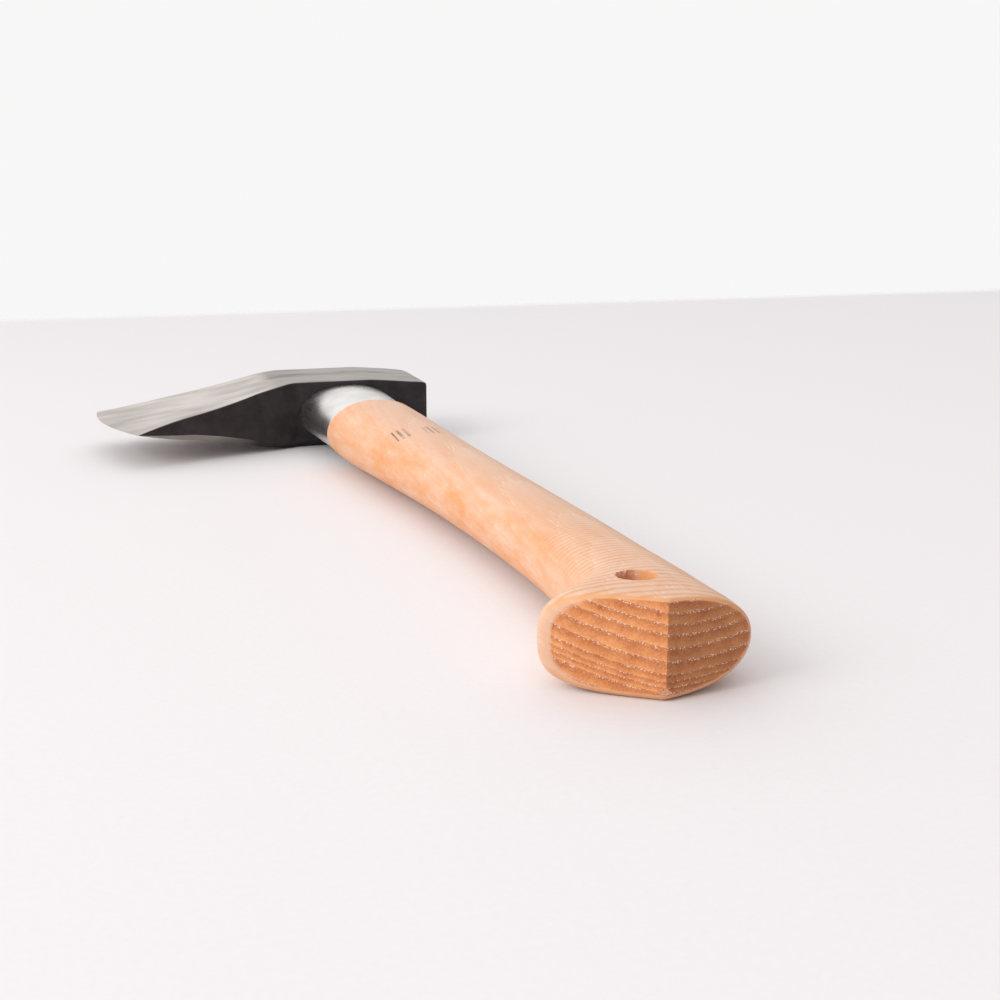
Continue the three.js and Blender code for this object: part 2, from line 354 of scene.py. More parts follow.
# %% The two sawn facets
close_ends(handle)
ridge_ends = [
    vert for vert in handle.verts
    if (vert.co - at(0, RIDGE_Y, vert.co.z / MM)).length < 0.02 * MM
]
butt_face = max(ridge_ends[0].link_faces, key=lambda face: len(face.verts))
bmesh.utils.face_split(butt_face, *ridge_ends)
ridge = [edge for edge in handle.edges if all(vert in ridge_ends for vert in edge.verts)]
bmesh.ops.bevel(handle, geom=ridge, offset=0.2 * MM, segments=2, profile=0.5, affect="EDGES",
                material=-1)
print("ridge edges eased:", len(ridge))

# %% [markdown]
# A lanyard hole is drilled down through the knob and lightly countersunk. Its cutter is a profile
# spun round the drill's axis. The wood tears a little where the drill comes out against the
# grain, so the cutter's far side is roughened there.

# %% Cutters for the handle
LANYARD_X, LANYARD_Y = 20.8, -1.3
rng = np.random.default_rng(7)
# distance from the drill's axis, height
drill_profile = [(0, -6), (8.5, -6), (5.2, -0.05), (4.75, 0.5),
                 (4.75, 23.6), (5.1, 24.4), (8.5, 30), (0, 30)]
cutter = bmesh.new()
profile_verts = [cutter.verts.new(at(LANYARD_X + r, LANYARD_Y, z)) for r, z in drill_profile]
profile_edges = [cutter.edges.new(pair) for pair in zip(profile_verts, profile_verts[1:])]
bmesh.ops.spin(cutter, geom=profile_verts + profile_edges, cent=at(LANYARD_X, LANYARD_Y, 0),
               axis=(0, 0, 1), angle=2 * math.pi, steps=72, use_merge=True)
bmesh.ops.remove_doubles(cutter, verts=cutter.verts, dist=0.01 * MM)
for vert in cutter.verts:
    arm = vert.co - at(LANYARD_X, LANYARD_Y, vert.co.z / MM)
    torn = max(0.0, arm.normalized().dot(Vector((0.75, 0.66, 0)))) if arm.length > MM else 0
    if vert.co.z > 20 * MM and arm.length < 6 * MM:
        vert.co += arm.normalized() * torn * rng.uniform(-0.2, 0.75) * MM
print("drill cutter:", len(cutter.verts), "vertices")

# %% [markdown]
# The top of the tongue is sawn for the wooden wedge, and the steel wedge splits it across in
# three directions. A tapered bar makes each of these cuts: a cube whose end is drawn thinner.

# %% Tapered bars
WEDGE_TIP_X = mm_box("wooden_wedge")[0].x
STEEL_TIP_X = mm_box("steel_wedge")[0].x
EYE_MIDDLE = (EYE[0] + EYE[1]) / 2


def add_bar(bm, x_low, x_high, y_low, y_high, half_low, half_high, turn=0):
    """Adds a bar along x that is half_low thick at its tip, turned about the middle of the eye."""
    verts = bmesh.ops.create_cube(bm, size=1)["verts"]
    for vert in verts:
        half = half_low if vert.co.x < 0 else half_high
        vert.co = Vector((x_low if vert.co.x < 0 else x_high,
                          y_low if vert.co.y < 0 else y_high,
                          -half if vert.co.z < 0 else half))
    bmesh.ops.rotate(bm, verts=verts, cent=(0, 0, 0), matrix=Matrix.Rotation(turn, 3, "X"))
    for vert in verts:
        vert.co = at(vert.co.x, vert.co.y + EYE_MIDDLE, vert.co.z + HEAD_HALF)


slots = bmesh.new()
add_bar(slots, WEDGE_TIP_X - GAP, tongue_end + 1, -30, 30, 0.5 + GAP, 2.4 + GAP)
handle = cut(cut(handle, cutter), slots)
for turn in (0, 2 * math.pi / 3, 4 * math.pi / 3):
    slots = bmesh.new()
    add_bar(slots, STEEL_TIP_X - GAP, tongue_end + 1, 0, 8.2 + GAP, 0.35 + GAP, 0.85 + GAP, turn)
    handle = cut(handle, slots)
print("handle after its cuts:", len(handle.faces), "faces")

# %% [markdown]
# Hard use has knocked a chip off the bottom of the ridge. A small block with a rough face takes
# it away: its face goes through three points, one up the ridge and one low on each facet, and
# its lower side leaves a step above the eased rim.

# %% The chipped corner
CHIP_BLOCK = 8
CHIP_ROUGH = 0.1
chip_points = [at(-0.02, RIDGE_Y, 4.2)] + [at(float(facet_x(y)), y, 1.9) for y in (1.3, -2.2)]
chip_normal = (chip_points[1] - chip_points[0]).cross(chip_points[2] - chip_points[0]).normalized()
if chip_normal.x > 0:
    chip_normal.negate()
chip = bmesh.new()
bmesh.ops.create_cube(chip, size=CHIP_BLOCK * MM)
bmesh.ops.subdivide_edges(chip, edges=chip.edges, cuts=13, use_grid_fill=True)
for vert in chip.verts:
    if vert.co.z < -0.49 * CHIP_BLOCK * MM:
        vert.co.z += rng.uniform(-CHIP_ROUGH, CHIP_ROUGH) * MM
turn = chip_normal.to_track_quat("Z", "Y")
step = (chip_points[1] + chip_points[2]) / 2
centre = step + turn @ Vector((0, CHIP_BLOCK / 2, CHIP_BLOCK / 2)) * MM
bmesh.ops.transform(chip, verts=chip.verts,
                    matrix=Matrix.Translation(centre) @ turn.to_matrix().to_4x4())
handle = cut(handle, chip)
print("chip taken off the ridge, normal", [round(v, 2) for v in chip_normal])

# %% [markdown]
# ## Finishes
#
# A material here is a small graph of nodes. One function adds a node, sets its properties, and
# gives its inputs in order, each either a number, a colour or another node's output. Colours are
# written as the hex values of a paint chart and turned to the linear values that light needs.

# %% Node and colour helpers
def linear(code):
    """An sRGB hex colour as linear RGBA."""
    parts = [int(code[i:i + 2], 16) / 255 for i in (1, 3, 5)]
    light = [c / 12.92 if c <= 0.04045 else ((c + 0.055) / 1.055) ** 2.4 for c in parts]
    return (*light, 1.0)


def add(tree, kind, *values, named=None, **settings):
    """Adds a node and returns its first output. values fill its enabled inputs in order."""
    made = tree.nodes.new("ShaderNode" + kind)
    for name, value in settings.items():
        setattr(made, name, value)
    inputs = list(zip([socket for socket in made.inputs if socket.enabled], values))
    inputs += [(made.inputs[name], value) for name, value in (named or {}).items()]
    for socket, value in inputs:
        if isinstance(value, bpy.types.NodeSocket):
            tree.links.new(value, socket)
        elif value is not None:
            socket.default_value = value
    return next((output for output in made.outputs if output.enabled), made)


def material(name, zero=ORIGIN):
    """An empty node material, as (material, tree, place in mm from zero)."""
    made = bpy.data.materials.new(name)
    made.use_nodes = True
    made.node_tree.nodes.clear()
    place = add(made.node_tree, "TexCoord").node.outputs["Object"]
    mm = add(made.node_tree, "Mapping", place, tuple(-zero / MM), (0, 0, 0), (1000, 1000, 1000))
    return made, made.node_tree, mm


def surface(tree, colour, rough, height, strength, depth, more=None):
    """A surface whose bumps are up to depth mm deep. more holds other inputs of the shader."""
    bump = add(tree, "Bump", named={"Height": height, "Strength": strength, "Distance": depth * MM})
    return add(tree, "BsdfPrincipled", named={
        "Base Color": colour, "Roughness": rough, "Normal": bump, **(more or {})})


def finish_material(tree, shader):
    """Links the last shader to the material's output."""
    output = tree.nodes.new("ShaderNodeOutputMaterial")
    tree.links.new(shader, output.inputs["Surface"])


print("red oxide in linear light:", [round(v, 3) for v in linear("#8a3b2a")])

# %% [markdown]
# ### Oiled ring-porous hardwood
#
# Ash and hickory lay down a row of wide open pores each spring and dense wood each summer. A cut
# across the grain shows each year as a dotted pale line over brown; a cut along it shows long
# faint streaks. One solid pattern does both: rings about a pith line beside the handle, and pores
# that are tiny across the grain and long along it. Wood that is cut along the grain stays pale,
# and wood that is cut across it soaks up more oil and goes brown.

# %% Where the years' rings lie
# Distance from the pith at which each year's row of pores lies, in mm: wet years are wide.
RINGS = [
    44.0, 47.1, 50.0, 52.9, 55.6, 58.5, 61.4, 64.2, 67.0, 69.8,
    72.2, 75.3, 78.6, 81.5, 83.3, 84.6, 86.1, 88.9, 91.5, 94.6,
    97.2, 100.3, 103.1, 105.7, 108.8, 111.6, 114.4, 117.3, 120.0,
]


def year_of(tree, distance):
    """How far through its year the wood at this distance grew: 0 at its pores, 1 at its end."""
    span = RINGS[-1] - RINGS[0]
    along = add(tree, "MapRange", distance, RINGS[0], RINGS[-1], 0.0, 1.0)
    curve = add(tree, "FloatCurve", 1.0, along).node
    points = curve.mapping.curves[0].points
    for i, ring in enumerate(RINGS[1:-1], start=1):
        points.new((ring - RINGS[0]) / span, i / (len(RINGS) - 1))
    for point in points:
        point.handle_type = "VECTOR"
    curve.mapping.update()
    years = add(tree, "Math", curve.outputs[0], float(len(RINGS) - 1), operation="MULTIPLY")
    return add(tree, "Math", years, operation="FRACT")


print("years in the wood:", len(RINGS) - 1)

# %% Grain that any piece of this wood shares
def grain(tree, mm, pith_y, pith_z, run_out):
    """Nodes of ring-porous wood with its pith beside the piece, in the maker's mm."""
    slow = add(tree, "Mapping", mm, (0, 0, 0), (0, 0, 0), (0.004, 0.025, 0.025))
    wander = add(tree, "TexNoise", named={"Vector": slow, "Scale": 1.0, "Detail": 1.0})
    close = add(tree, "Mapping", mm, (0, 0, 0), (0, 0, 0), (0.015, 0.35, 0.35))
    tremble = add(tree, "TexNoise", named={"Vector": close, "Scale": 1.0, "Detail": 3.0})
    from_pith = add(tree, "Mapping", mm, (0, -pith_y, -pith_z), (0, 0, 0), (0, 1, 1))
    radius = add(tree, "VectorMath", from_pith, operation="LENGTH").node.outputs["Value"]
    along = add(tree, "SeparateXYZ", mm)
    leaned = add(tree, "Math", along, run_out, radius, operation="MULTIPLY_ADD")
    swelled = add(tree, "Math", wander, 1.6, leaned, operation="MULTIPLY_ADD")
    centred = add(tree, "Math", tremble, 0.9, swelled, operation="MULTIPLY_ADD")
    distance = add(tree, "Math", centred, 1.25, operation="SUBTRACT")
    year = year_of(tree, distance)

    # Pores 0.3 mm wide and about 12 mm long, crowded into the first sixth of each year.
    stretched = add(tree, "Mapping", mm, (0, 0, 0), (0, 0, 0), (0.09, 2.3, 2.3))
    cells = add(tree, "TexVoronoi", named={"Vector": stretched, "Scale": 1.0})
    cells = cells.node.outputs["Distance"]
    pore = add(tree, "MapRange", cells, 0.26, 0.40, 1.0, 0.0, interpolation_type="SMOOTHSTEP")
    early = add(tree, "MapRange", year, 0.10, 0.24, 1.0, 0.0, interpolation_type="SMOOTHSTEP")
    late = add(tree, "MapRange", year, 0.92, 1.0, 0.0, 1.0, interpolation_type="SMOOTHSTEP")
    spring = add(tree, "Math", early, late, operation="MAXIMUM")
    row = add(tree, "Math", pore, spring, operation="MULTIPLY")

    # Fibres 0.2 mm wide, and broad streaks of colour a few millimetres wide.
    thin = add(tree, "Mapping", mm, (0, 0, 0), (0, 0, 0), (0.12, 4.5, 4.5))
    fibre = add(tree, "TexNoise", named={"Vector": thin, "Scale": 1.0, "Detail": 2.0})
    broad = add(tree, "Mapping", mm, (0, 0, 0), (0, 0, 0), (0.014, 0.22, 0.22))
    streak = add(tree, "TexNoise", named={
        "Vector": broad, "Scale": 1.0, "Detail": 4.0, "Roughness": 0.6})
    return {"year": year, "row": row, "spring": spring, "pore": pore,
            "fibre": fibre, "streak": streak}


print("the pore rows fill the first sixth of a year")

# %% [markdown]
# The handle's own finish adds what its making left: fine cross ripples from the belt near the
# knob, honey-coloured edges where the oil pooled, with a painted highlight along them, an orange
# flush along the blade side, and a plain burnt mark by the head, drawn here as two tallies of
# short strokes.

# %% Oiled hardwood handle
def handle_wood():
    made, tree, mm = material("oiled_hardwood")
    axes = add(tree, "SeparateXYZ", mm).node.outputs
    facing = add(tree, "SeparateXYZ", add(tree, "NewGeometry").node.outputs["Normal"]).node.outputs
    wood = grain(tree, mm, -8, 88, 0.08)

    # Wood cut along the grain: pale, with streaks, faint years and pores.
    pale = add(tree, "Mix", wood["streak"], linear("#efd2bd"), linear("#dfae90"), data_type="RGBA")
    years = add(tree, "MapRange", wood["year"], 0.0, 1.0, 0.30, 0.0)
    ringed = add(tree, "Mix", years, pale, linear("#d99a68"), data_type="RGBA")
    fibres = add(tree, "MapRange", wood["fibre"], 0.3, 0.7, 0.0, 0.25)
    along = add(tree, "Mix", fibres, ringed, linear("#dca57a"), data_type="RGBA")
    dashes = add(tree, "Math", wood["row"], 0.35, operation="MULTIPLY")
    along = add(tree, "Mix", dashes, along, linear("#fbeee0"), data_type="RGBA")

    # An orange flush, strongest along the blade side of the grip.
    flush_place = add(tree, "Mapping", mm, (0, 0, 0), (0, 0, 0), (0.05, 0.16, 0.16))
    flush = add(tree, "TexNoise", named={
        "Vector": flush_place, "Scale": 1.0, "Detail": 5.0, "Roughness": 0.65})
    side = add(tree, "MapRange", facing["Y"], -0.1, 0.75, 0.0, 1.0)
    reach = add(tree, "MapRange", axes["X"], 15.0, 70.0, 0.1, 1.0)
    patch = add(tree, "MapRange", flush, 0.38, 0.66, 0.15, 1.0)
    amount = add(tree, "Math", side, reach, operation="MULTIPLY")
    amount = add(tree, "Math", amount, patch, operation="MULTIPLY")
    along = add(tree, "Mix", amount, along, linear("#e29a63"), data_type="RGBA")

    # Cross ripples, 4 mm apart at the butt and closer along the grip, where they fade.
    shake = add(tree, "TexNoise", named={"Vector": mm, "Scale": 0.09, "Detail": 2.0})
    shifted = add(tree, "Math", shake, 3.2, axes["X"], operation="MULTIPLY_ADD")
    tempo = add(tree, "Math", shifted, 0.0016, 0.24, operation="MULTIPLY_ADD")
    cycles = add(tree, "Math", shifted, tempo, operation="MULTIPLY")
    wave = add(tree, "Math", cycles, 2 * math.pi, operation="MULTIPLY")
    crest = add(tree, "Math", wave, operation="SINE")
    crest = add(tree, "MapRange", crest, -0.2, 1.0, 0.0, 1.0)
    fade = add(tree, "MapRange", axes["X"], 30.0, 125.0, 1.0, 0.0)
    upward = add(tree, "MapRange", facing["Z"], 0.25, 0.8, 0.0, 1.0)
    broken = add(tree, "MapRange", flush, 0.3, 0.6, 0.45, 1.0)
    ripple = add(tree, "Math", crest, fade, operation="MULTIPLY")
    ripple = add(tree, "Math", ripple, upward, operation="MULTIPLY")
    ripple = add(tree, "Math", ripple, broken, operation="MULTIPLY")
    tint = add(tree, "Math", ripple, 0.75, operation="MULTIPLY")
    along = add(tree, "Mix", tint, along, linear("#d4935f"), data_type="RGBA")

    # Wood cut across the grain: dark after each row of pores, paler before the next. The squarer
    # the cut, the browner it is drawn: partly the oil it drinks, and partly painted shade, because
    # the steep facet is turned away from the lamp. Fresh wood shows where a chip has gone deeper
    # than the two sawn facets.
    speck = add(tree, "TexNoise", named={
        "Vector": mm, "Scale": 1.6, "Detail": 4.0, "Roughness": 0.7})
    patchy = add(tree, "TexNoise", named={"Vector": mm, "Scale": 0.25, "Detail": 3.0})
    lit = add(tree, "Math", wood["year"], 0.8, operation="MULTIPLY")
    tone = add(tree, "Math", speck, 1.3, lit, operation="MULTIPLY_ADD")
    tone = add(tree, "Math", patchy, 1.2, tone, operation="MULTIPLY_ADD")
    tone = add(tree, "MapRange", tone, 1.0, 2.3, 0.0, 1.0)
    across = add(tree, "Mix", tone, linear("#b25b2a"), linear("#f8ab6e"), data_type="RGBA")
    steep = add(tree, "Math", facing["X"], operation="ABSOLUTE")
    # Painted shade, in part: the darker brown laid on the steep facet, which faces away from the
    # lamp.
    square_cut_oil_and_shade = add(tree, "MapRange", steep, 0.88, 0.97, 0.0, 0.42)
    across = add(tree, "Mix", square_cut_oil_and_shade, across, linear("#6a3114"), data_type="RGBA")
    sawn_front = add(tree, "Math", axes["Y"], FRONT_SLOPE, -RIDGE_Y * FRONT_SLOPE,
                     operation="MULTIPLY_ADD")
    sawn_back = add(tree, "Math", axes["Y"], -BACK_SLOPE, RIDGE_Y * BACK_SLOPE,
                    operation="MULTIPLY_ADD")
    sawn = add(tree, "Math", sawn_front, sawn_back, operation="MAXIMUM")
    depth = add(tree, "Math", axes["X"], sawn, operation="SUBTRACT")
    fresh = add(tree, "MapRange", depth, 0.1, 0.2, 0.0, 0.65)
    across = add(tree, "Mix", fresh, across, linear("#f0b896"), data_type="RGBA")
    small = add(tree, "Math", wood["pore"], 0.1, operation="MULTIPLY")
    dots = add(tree, "Math", wood["row"], small, operation="MAXIMUM")
    haze = add(tree, "Math", wood["spring"], 0.07, operation="MULTIPLY")
    dots = add(tree, "Math", dots, haze, operation="MAXIMUM")
    across = add(tree, "Mix", dots, across, linear("#f4dfca"), data_type="RGBA")

    # The two cuts meet in a band where the edge is eased, honey-coloured except round the toe:
    # partly the oil that pooled there, and partly a painted highlight along the edge. The drill's
    # wall has soaked up oil too.
    level = add(tree, "Math", facing["Z"], operation="ABSOLUTE")
    level = add(tree, "MapRange", level, 0.25, 0.6, 0.1, 1.0)
    honey_oil_and_highlight = add(tree, "MapRange", steep, 0.25, 0.5, 0.0, 0.7, interpolation_type="SMOOTHSTEP")
    honey_oil_and_highlight = add(tree, "Math", honey_oil_and_highlight, level, operation="MULTIPLY")
    from_drill = add(tree, "Mapping", mm, (-LANYARD_X, -LANYARD_Y, 0), (0, 0, 0), (1, 1, 0))
    from_drill = add(tree, "VectorMath", from_drill, operation="LENGTH").node.outputs["Value"]
    bored = add(tree, "MapRange", from_drill, 4.9, 5.2, 0.75, 0.0)
    honey_oil_and_highlight = add(tree, "Math", honey_oil_and_highlight, bored, operation="MAXIMUM")
    ends = add(tree, "MapRange", steep, 0.72, 0.82, 0.0, 1.0, interpolation_type="SMOOTHSTEP")
    colour = add(tree, "Mix", honey_oil_and_highlight, along, linear("#eba45f"), data_type="RGBA")
    colour = add(tree, "Mix", ends, colour, across, data_type="RGBA")

    # The burnt mark: two tallies of plain strokes 12 mm long, 2.2 mm apart.
    strokes = add(tree, "Math", axes["Y"], 20.0, operation="ADD")
    strokes = add(tree, "Math", strokes, 2.2, operation="MODULO")
    strokes = add(tree, "Math", strokes, 1.1, 0.5, operation="COMPARE")
    tallies = add(tree, "Math", axes["Y"], 3.3, operation="SUBTRACT")
    tallies = add(tree, "Math", tallies, operation="ABSOLUTE")
    tallies = add(tree, "Math", tallies, 5.6, 3.1, operation="COMPARE")
    stroke_end = add(tree, "Math", patchy, 5.0, axes["X"], operation="MULTIPLY_ADD")
    stroke_end = add(tree, "Math", stroke_end, 216.0, 6.0, operation="COMPARE")
    mark = add(tree, "Math", strokes, tallies, operation="MULTIPLY")
    mark = add(tree, "Math", mark, stroke_end, operation="MULTIPLY")
    on_top = add(tree, "Math", facing["Z"], 0.5, operation="GREATER_THAN")
    mark = add(tree, "Math", mark, on_top, operation="MULTIPLY")
    worn = add(tree, "MapRange", flush, 0.35, 0.6, 0.15, 0.8)
    burnt = add(tree, "Math", mark, worn, operation="MULTIPLY")
    colour = add(tree, "Mix", burnt, colour, linear("#4b3a33"), data_type="RGBA")

    # Heights, in tenths of a millimetre: open pores are sunk, ripples and fibres barely show.
    height = add(tree, "Math", wood["row"], -0.6, wood["fibre"], operation="MULTIPLY_ADD")
    height = add(tree, "Math", ripple, -0.5, height, operation="MULTIPLY_ADD")
    height = add(tree, "Math", mark, -1.5, height, operation="MULTIPLY_ADD")
    rough = add(tree, "MapRange", wood["fibre"], 0.3, 0.7, 0.42, 0.6)
    finish_material(tree, surface(tree, colour, rough, height, 0.35, 0.1,
                                  {"IOR": 1.5, "Specular IOR Level": 0.25}))
    return made


oiled_hardwood = handle_wood()
finish_piece(handle, "handle_wood_body", "handle", oiled_hardwood, sharp=45)

# %% [markdown]
# ## The guard round the neck
#
# A ring of bright steel strip covers the neck between the shoulder and the head, so that a missed
# blow doesn't bruise the wood. Its section is a thin strip with both lips rounded. The strip is
# carried round the neck's oval: rows out along the outer face, over the lip, and back inside.

# %% The guard's rows
GUARD_WALL = 1.5
GUARD_FLARE = {"front": 3.6, "back": 1.2, "half": 0.2}
LIP = 0.45


def guard_row(x, outward):
    """A ring of the guard's outer face at x, drawn in by outward below zero."""
    rise = (x - SHOULDER_X) / (HEAD_BOTTOM - SHOULDER_X)
    grow = GAP + GUARD_WALL + outward
    size = (NECK[0] + GUARD_FLARE["front"] * rise, NECK[1] - GUARD_FLARE["back"] * rise,
            NECK[2] + GUARD_FLARE["half"] * rise)
    return plain_row(x, size, grow)


near, far = guard_low.x, guard_high.x
quarter = np.linspace(0, np.pi / 2, 5)
outer_rows = [guard_row(near + LIP * (1 - math.cos(t)), -LIP * (1 - math.sin(t))) for t in quarter]
outer_rows += [guard_row(x, 0) for x in np.linspace(near + 1.5, far - 1.5, 20)]
outer_rows += [guard_row(far - LIP * (1 - math.sin(t)), -LIP * (1 - math.cos(t))) for t in quarter]
inner_rows = [plain_row(x, NECK, GAP) for x in np.linspace(far, near, 10)]
guard = tube(outer_rows + inner_rows, closed_rows=True)
print("guard:", len(outer_rows), "rows outside,", len(inner_rows), "inside")

# %% [markdown]
# The strip is satin stainless steel: rolled bright, then brushed round. The brushing leaves hair
# lines that run round the neck, which stretch a highlight along the handle.

# %% Satin steel
def satin_steel():
    made, tree, mm = material("satin_stainless_steel")
    # Hair lines 0.1 mm apart along the handle and centimetres long round it.
    hair_place = add(tree, "Mapping", mm, (0, 0, 0), (0, 0, 0), (6.0, 0.12, 0.12))
    hair = add(tree, "TexNoise", named={"Vector": hair_place, "Scale": 1.0, "Detail": 3.0})
    smear = add(tree, "TexNoise", named={"Vector": mm, "Scale": 0.08, "Detail": 4.0})
    tone = add(tree, "MapRange", smear, 0.3, 0.7, 0.0, 1.0)
    colour = add(tree, "Mix", tone, linear("#e2e0dc"), linear("#cfccc8"), data_type="RGBA")
    rough = add(tree, "MapRange", smear, 0.3, 0.7, 0.24, 0.36)
    finish_material(tree, surface(tree, colour, rough, hair, 0.02, 0.03, {"Metallic": 1.0}))
    return made


satin = satin_steel()
finish_piece(guard, "neck_guard", "collar_guard", satin, sharp=50)

# %% [markdown]
# ## The head
#
# The head is forged from one bar: a flat poll at one end, a thick eye in the middle, and a blade
# drawn out thin and wide at the other. Each section of it, from the poll to the edge, is a bar
# that stands between the underside and the top line. The table gives those two points, half the
# thickness, and how far the middle of the section swells towards the edge.

# %% The head's stations
# place along the head, under x and y, top x and y, half thickness, swell
HEAD = [
    [-28, 320.7, -28, 354.5, -28, 11.2, 0],
    [-26.4, 320.7, -26.4, 358.5, -26.4, 11.9, 0],
    [-20, 320.7, -20, HEAD_TOP, -20, 12.5, 0],
    [-12, 320.7, -12, HEAD_TOP, -12, 13.3, 0],
    [-3, 320.7, -3, HEAD_TOP, -3, HEAD_HALF, 0],
    [0, 320.7, 0, HEAD_TOP, 0, HEAD_HALF, 0],
    [24, 320.7, 24.8, HEAD_TOP, 23.2, HEAD_HALF, 0],
    [27.4, 320.7, 28.8, HEAD_TOP, 26, HEAD_HALF, 0],
    [32, 319.2, 32, HEAD_TOP, 32, HEAD_HALF, 0],
    [39.5, 315.6, 39, HEAD_TOP, 40, 13, 0],
    [46.5, 312.9, 46.5, HEAD_TOP, 46.5, 11.5, 0],
    [52.5, 310.9, 52, 362.1, 53, 10, 0.3],
    [62.8, 307.4, 61.5, 361.2, 64, 7.7, 0.8],
    [72.3, 303.9, 70.5, 360.1, 74, 5.9, 1.6],
    [82.8, 299.7, 81, 358.8, 84.5, 4.1, 2.8],
    [91.7, 296.6, 88.4, 357.4, 95, 2.4, 3.6],
    [97.5, 294.6, 93, 356.4, 102, 1.2, 4.4],
    [103.9, 292.8, 97.1, 355.4, 110.7, 0.03, 5],
]
UPPER_ARRIS, LOWER_ARRIS, TOP_ARRIS = 1.0, 2.6, 1.2
POLL_EASE = 0.7


def head_row(place, inset=0):
    """The section of the head at one place, drawn in by inset. Its lower arris under the blade is
    ground flat, and the other three are rounded."""
    under_x, under_y, top_x, top_y, half, swell = fair(HEAD, place)
    half = min(half, HEAD_HALF) - inset
    length = math.hypot(top_x - under_x, top_y - under_y)
    outline = []
    corners = [(length - inset, half, TOP_ARRIS, 0), (length - inset, -half, TOP_ARRIS, -90),
               (inset, -half, LOWER_ARRIS, 180), (inset, half, UPPER_ARRIS, 90)]
    for up, z, radius, start in corners:
        radius = min(radius, 0.5 * half)
        middle_up = up - radius if up > length / 2 else up + radius
        middle_z = z - radius if z > 0 else z + radius
        arc = [(middle_up + radius * math.cos(turn), middle_z + radius * math.sin(turn))
               for turn in np.radians(np.linspace(start + 90, start, 6))]
        if start == 180:
            arc = [tuple(point) for point in np.linspace(arc[0], arc[-1], 6)]
        outline += arc
    points = []
    for (up_a, z_a), (up_b, z_b) in zip(outline, outline[1:] + outline[:1]):
        steps = 14 if abs(up_b - up_a) > length / 2 else 1
        if abs(z_b - z_a) > half * 0.9 and steps == 1:
            steps = 6
        for t in np.arange(steps) / steps:
            up, z = up_a + (up_b - up_a) * t, z_a + (z_b - z_a) * t
            share = up / length
            points.append((under_x + (top_x - under_x) * share,
                           under_y + (top_y - under_y) * share + 4 * swell * share * (1 - share),
                           HEAD_HALF + z))
    return np.array(points)


head_places = np.concatenate([
    np.linspace(-27.3, -20, 8), np.arange(-18, 27, 2.5), np.linspace(27.4, 103.9, 62)])
poll_rows = [head_row(POLL_Y + POLL_EASE * (1 - math.sin(t)), POLL_EASE * (1 - math.cos(t)))
             for t in np.linspace(np.pi / 2, 0, 5)]
head = tube(poll_rows[:-1] + [head_row(place) for place in head_places])
close_ends(head)
print("head rows:", len(poll_rows) - 1 + len(head_places))

# %% [markdown]
# The eye is punched right through from the underside to the top, and its rims are eased. It is
# 0.3 mm larger than the tongue all round, the gap that the CAD keeps between neighbours.

# %% Punch the eye
EYE_EASE = 0.6


def eye_row(x, extra=0):
    rise = min(max((x - HEAD_BOTTOM) / (HEAD_TOP - HEAD_BOTTOM), 0), 1)
    return plain_row(x, EYE, GAP + EYE_FLARE * rise + extra)


punch = tube([eye_row(HEAD_BOTTOM - 3, EYE_EASE + 3), eye_row(HEAD_BOTTOM + EYE_EASE)]
             + [eye_row(x) for x in np.linspace(HEAD_BOTTOM + 4, HEAD_TOP - 4, 8)]
             + [eye_row(HEAD_TOP - EYE_EASE), eye_row(HEAD_TOP + 3, EYE_EASE + 3)])
close_ends(punch)
head = cut(head, punch)
print("head after the punch:", len(head.faces), "faces")

# %% [markdown]
# ### Forge scale and ground steel
#
# The head comes from the fire with a skin of black iron oxide. The smith grinds the blade's
# cheeks and the bit bright on a belt, which leaves scratches towards the edge, and leaves the
# underside and the top line black. The cheeks over the eye are only brushed, so grey steel shows
# through the scale in streaks. One material mixes the two finishes by where a point is and which
# way it faces.

